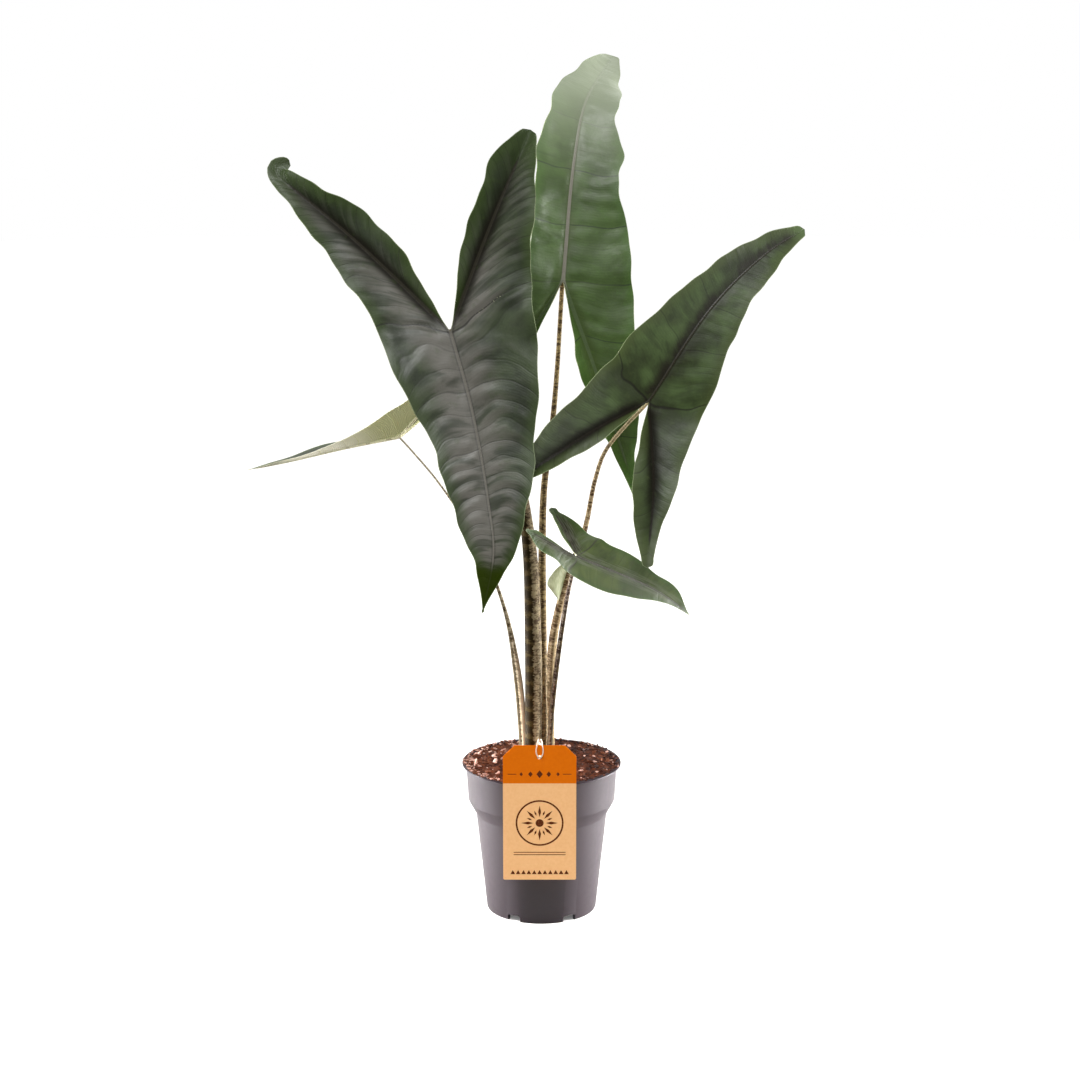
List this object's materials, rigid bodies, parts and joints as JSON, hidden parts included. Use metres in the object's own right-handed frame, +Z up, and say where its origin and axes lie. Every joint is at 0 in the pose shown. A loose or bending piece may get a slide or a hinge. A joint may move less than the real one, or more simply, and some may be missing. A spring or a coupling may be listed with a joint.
{
  "type": "potted tigrina superba alocasia",
  "caption": "Aroid house plant in a tapered nursery pot: mottled upright petioles carry long hanging arrow-shaped blades with wavy margins; a blank card tag hangs on a cord over the rim.",
  "frame": {"origin": "middle of the flat pad in the centre of the pot's underside, on the surface that the pot stands on", "axes": "+Z up along the pot's axis; -Y towards the front, where the tag hangs over the rim; +X to the right seen from the front"},
  "size_m": [0.5872, 0.2958, 0.9032],
  "materials": {
    "pot": "satin",
    "soil": "matte",
    "rhizome": "matte",
    "leaf_front": "satin",
    "leaf_back": "satin",
    "leaf_right": "satin",
    "leaf_low": "satin",
    "leaf_left": "satin",
    "petiole": "satin",
    "sheath": "matte",
    "tag": "matte",
    "tag_cord": "matte"
  },
  "bodies": {
    "root": {"pot": "pot", "soil": "soil", "rhizome": "rhizome", "blade_front": "leaf_front", "petiole_front": "petiole", "blade_back": "leaf_back", "petiole_back": "petiole", "blade_right": "leaf_right", "petiole_right": "petiole", "blade_low": "leaf_low", "petiole_low": "petiole", "blade_left": "leaf_left", "petiole_left": "petiole", "sheath": "sheath", "tag": "tag", "tag_cord": "tag_cord"}
  },
  "joints": []
}
